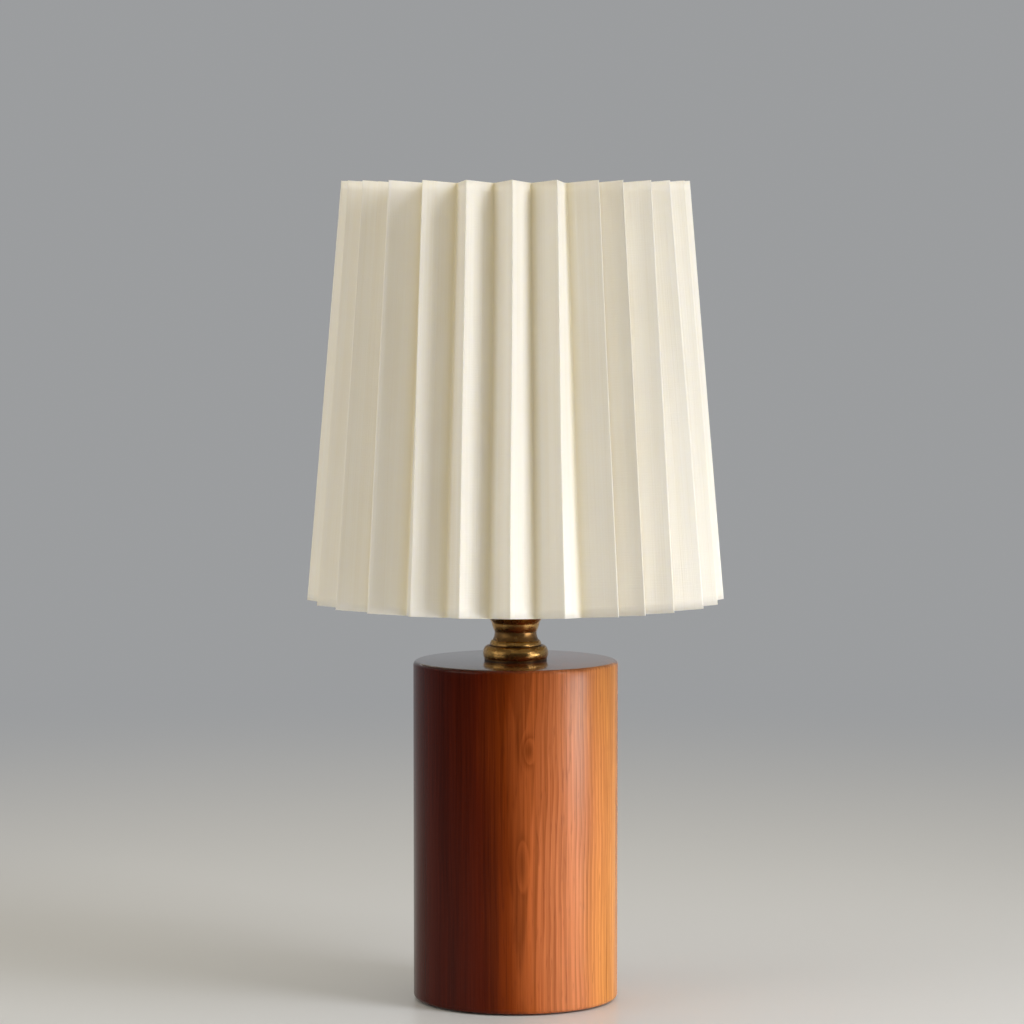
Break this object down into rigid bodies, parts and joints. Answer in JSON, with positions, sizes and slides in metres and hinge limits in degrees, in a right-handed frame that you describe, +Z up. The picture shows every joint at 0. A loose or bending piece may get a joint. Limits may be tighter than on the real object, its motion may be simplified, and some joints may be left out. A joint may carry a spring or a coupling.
{
  "type": "table lamp",
  "caption": "Cylindrical turned wooden table lamp with a brass neck, a screw-cap lampholder with a turn switch, a candle lamp and a tapered pleated shade open at both ends.",
  "frame": {"origin": "on the lamp's axis, in the plane that the felt pad stands on", "axes": "+Z up along the lamp's axis, -Y towards the front as pictured, +Y towards the cord outlet"},
  "size_m": [0.2037, 0.2057, 0.4001],
  "materials": {
    "walnut_lacquer": "turned hardwood, red-brown, gloss lacquer",
    "felt": "pressed felt, dark",
    "antique_brass": "turned brass, aged and waxed",
    "plain_brass": "machined",
    "zinc_steel": "zinc plated",
    "black_moulding": "moulded, matt",
    "brown_moulding": "thermosetting moulding, dark brown",
    "porcelain": "glazed porcelain",
    "copper_alloy": "sprung copper alloy strip",
    "shade_cloth": "laminated cloth, cream",
    "white_enamel": "white enamelled steel wire",
    "lamp_metal": "nickel plated",
    "black_glass": "vitrified insulator",
    "clear_glass": "clear blown glass",
    "phosphor": "phosphor-coated filament"
  },
  "bodies": {
    "stand": {"felt_pad": "felt", "wood_body": "walnut_lacquer", "rod_tube": "plain_brass", "clamp_washer": "zinc_steel", "lock_washer": "zinc_steel", "clamp_nut": "plain_brass", "outlet_nipple": "plain_brass", "outlet_nut": "plain_brass", "outlet_bush": "black_moulding", "brass_neck": "antique_brass", "neck_nut": "plain_brass", "holder_casing": "antique_brass", "casing_grub_screw": "zinc_steel", "switch_block": "brown_moulding", "switch_contacts": "copper_alloy", "switch_collar": "antique_brass", "porcelain_insert": "porcelain", "terminal_screws": "plain_brass", "earth_screw": "zinc_steel", "centre_contact": "copper_alloy", "screw_shell": "plain_brass", "holder_skirt": "antique_brass"},
    "lower_ring": {"lower_shade_ring": "brown_moulding"},
    "shade": {"shade_cover": "shade_cloth", "shade_top_wire": "white_enamel", "shade_bottom_wire": "white_enamel", "shade_arms": "white_enamel", "shade_hub": "white_enamel"},
    "upper_ring": {"upper_shade_ring": "brown_moulding"},
    "switch": {"switch_shaft": "zinc_steel", "switch_cam": "black_moulding", "switch_knob": "brown_moulding"},
    "lamp_contact": {"lamp_tip": "lamp_metal"},
    "lamp": {"lamp_cap": "lamp_metal", "lamp_cap_glass": "black_glass", "lamp_glass": "clear_glass", "lamp_stem": "clear_glass", "lamp_wires": "zinc_steel", "lamp_filaments": "phosphor"}
  },
  "joints": [
    {"name": "shade_turn", "type": "hinge", "parent": "stand", "child": "lower_ring", "pos_m": [0, 0, 0.2238], "axis": [0, 0, 1], "continuous": true},
    {"name": "shade_lift", "type": "slide", "parent": "lower_ring", "child": "shade", "axis": [0, 0, 1], "range_m": [0, 0.13]},
    {"name": "ring_turn", "type": "hinge", "parent": "shade", "child": "upper_ring", "pos_m": [0, 0, 0.2299], "axis": [0, 0, 1], "continuous": true},
    {"name": "switch_turn", "type": "hinge", "parent": "stand", "child": "switch", "pos_m": [0.02, 0, 0.20555], "axis": [1, 0, 0], "continuous": true},
    {"name": "lamp_unscrew", "type": "hinge", "parent": "lamp_contact", "child": "lamp", "pos_m": [0, 0, 0.2252], "axis": [0, 0, 1], "range_deg": [0, 1440]},
    {"name": "lamp_rise", "type": "slide", "parent": "stand", "child": "lamp_contact", "axis": [0, 0, 1], "range_m": [0, 0.0146]}
  ],
  "couplings": [
    {"joint": "lamp_rise", "follows": "lamp_unscrew", "m_per_rad": 0.0005775}
  ]
}
